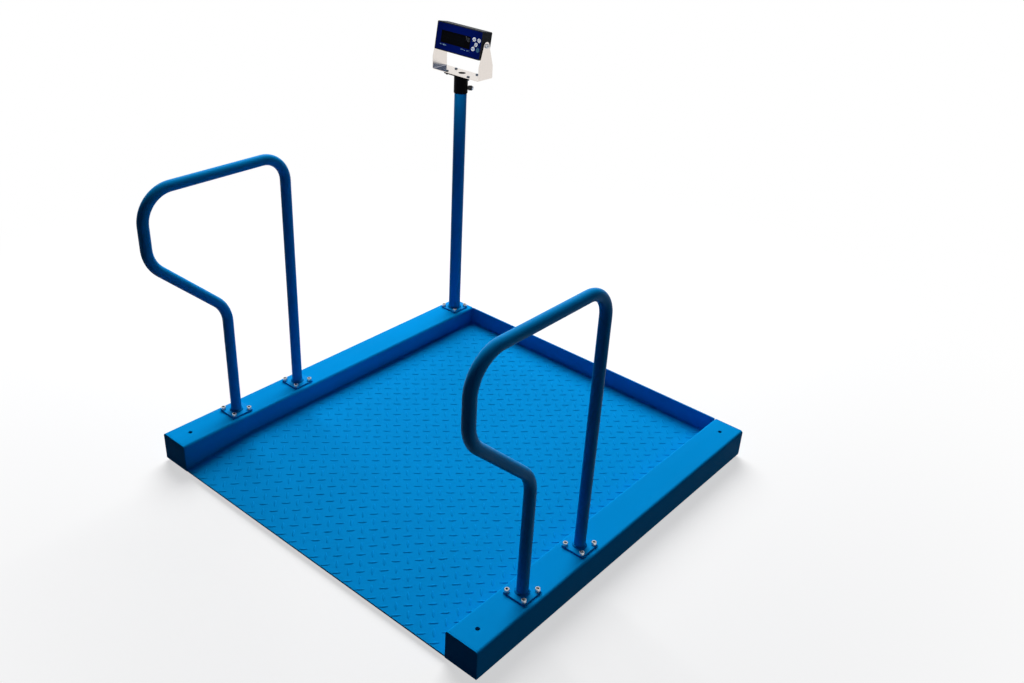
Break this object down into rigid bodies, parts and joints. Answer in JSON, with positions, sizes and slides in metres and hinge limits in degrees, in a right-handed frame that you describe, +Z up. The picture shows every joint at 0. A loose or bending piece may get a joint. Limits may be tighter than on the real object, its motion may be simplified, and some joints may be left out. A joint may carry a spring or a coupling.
{
  "type": "wheelchair scale",
  "caption": "Low tread-plate weighing platform with an entry slope, side rails, handrails and load cells in its feet, and a keyed display on a swivelling, tilting post head.",
  "frame": {"origin": "on the floor, under the middle of the whole object's bounding box at rest", "axes": "+Z up, the entry edge of the deck faces -Y, the post stands at the rear on the -X side"},
  "size_m": [1.2558, 1.219, 1.0855],
  "materials": {
    "blue_paint": "satin powder coat",
    "zinc_steel": "zinc plated",
    "bracket_steel": "brushed stainless",
    "cell_nickel": "satin nickel plate",
    "foot_rubber": "matte",
    "black_coat": "satin powder coat",
    "housing_black": "fine texture",
    "knob_black": "matte",
    "overlay_navy": "satin film",
    "window_black": "gloss",
    "key_white": "satin",
    "key_teal": "satin",
    "board_green": "solder mask",
    "battery_wrap": "shrink wrap",
    "lead_black": "matte",
    "box_grey": "fine texture"
  },
  "bodies": {
    "platform": {"deck_plate": "blue_paint", "deck_ribs": "blue_paint", "left_rail": "blue_paint", "right_rail": "blue_paint", "rail_end_plates": "blue_paint", "rear_wall": "blue_paint", "deck_welds": "blue_paint", "handrail_left": "blue_paint", "handrail_right": "blue_paint", "handrail_feet_left": "blue_paint", "handrail_feet_right": "blue_paint", "flange_bolts": "zinc_steel", "flange_nuts": "zinc_steel", "post_tube": "blue_paint", "post_foot": "blue_paint", "load_cell_front_left": "cell_nickel", "load_cell_front_right": "cell_nickel", "load_cell_rear_left": "cell_nickel", "load_cell_rear_right": "cell_nickel", "cell_spacers": "blue_paint", "cell_bolts": "zinc_steel", "lock_nuts": "zinc_steel", "junction_box": "box_grey", "junction_lid": "box_grey", "junction_board": "board_green", "junction_screws": "zinc_steel", "cell_leads": "lead_black", "lead_clips": "knob_black"},
    "foot_front_left": {"foot_stud_front_left": "zinc_steel", "foot_sole_front_left": "foot_rubber"},
    "foot_front_right": {"foot_stud_front_right": "zinc_steel", "foot_sole_front_right": "foot_rubber"},
    "foot_rear_left": {"foot_stud_rear_left": "zinc_steel", "foot_sole_rear_left": "foot_rubber"},
    "foot_rear_right": {"foot_stud_rear_right": "zinc_steel", "foot_sole_rear_right": "foot_rubber"},
    "head": {"swivel_collar": "black_coat", "indicator_bracket": "bracket_steel", "bracket_screws": "black_coat"},
    "clamp": {"clamp_screw": "zinc_steel", "clamp_knob": "knob_black"},
    "indicator": {"housing_front": "housing_black", "housing_back": "housing_black", "housing_seal": "foot_rubber", "housing_screws": "zinc_steel", "face_overlay": "overlay_navy", "display_window": "window_black", "display_module": "window_black", "key_board": "board_green", "main_board": "board_green", "battery": "battery_wrap", "cable_gland": "housing_black", "power_socket": "housing_black", "tilt_screws": "zinc_steel"},
    "key_zero": {"key_zero": "key_white"},
    "key_tare": {"key_tare": "key_white"},
    "key_hold": {"key_hold": "key_white"},
    "key_print": {"key_print": "key_white"},
    "key_power": {"key_power": "key_teal"}
  },
  "joints": [
    {"name": "foot_front_left_level", "type": "slide", "parent": "platform", "child": "foot_front_left", "axis": [0, 0, -1], "range_m": [-0.006, 0.012]},
    {"name": "foot_front_right_level", "type": "slide", "parent": "platform", "child": "foot_front_right", "axis": [0, 0, -1], "range_m": [-0.006, 0.012]},
    {"name": "foot_rear_left_level", "type": "slide", "parent": "platform", "child": "foot_rear_left", "axis": [0, 0, -1], "range_m": [-0.006, 0.012]},
    {"name": "foot_rear_right_level", "type": "slide", "parent": "platform", "child": "foot_rear_right", "axis": [0, 0, -1], "range_m": [-0.006, 0.012]},
    {"name": "head_swivel", "type": "hinge", "parent": "platform", "child": "head", "pos_m": [-0.5231, 0.562, 0.9], "axis": [0, 0, 1], "range_deg": [-170, 170]},
    {"name": "clamp_screw_out", "type": "slide", "parent": "head", "child": "clamp", "axis": [0.766, 0.6428, 0], "range_m": [0, 0.004]},
    {"name": "indicator_tilt", "type": "hinge", "parent": "head", "child": "indicator", "pos_m": [-0.5231, 0.566, 1.041], "axis": [-1, 0, 0], "range_deg": [-35, 60]},
    {"name": "key_zero_press", "type": "slide", "parent": "indicator", "child": "key_zero", "axis": [0, 0.9848, -0.1736], "range_m": [0, 0.0006], "stiffness_N_per_m": 2500, "springref_m": -0.0002},
    {"name": "key_tare_press", "type": "slide", "parent": "indicator", "child": "key_tare", "axis": [0, 0.9848, -0.1736], "range_m": [0, 0.0006], "stiffness_N_per_m": 2500, "springref_m": -0.0002},
    {"name": "key_hold_press", "type": "slide", "parent": "indicator", "child": "key_hold", "axis": [0, 0.9848, -0.1736], "range_m": [0, 0.0006], "stiffness_N_per_m": 2500, "springref_m": -0.0002},
    {"name": "key_print_press", "type": "slide", "parent": "indicator", "child": "key_print", "axis": [0, 0.9848, -0.1736], "range_m": [0, 0.0006], "stiffness_N_per_m": 2500, "springref_m": -0.0002},
    {"name": "key_power_press", "type": "slide", "parent": "indicator", "child": "key_power", "axis": [0, 0.9848, -0.1736], "range_m": [0, 0.0006], "stiffness_N_per_m": 2500, "springref_m": -0.0002}
  ]
}
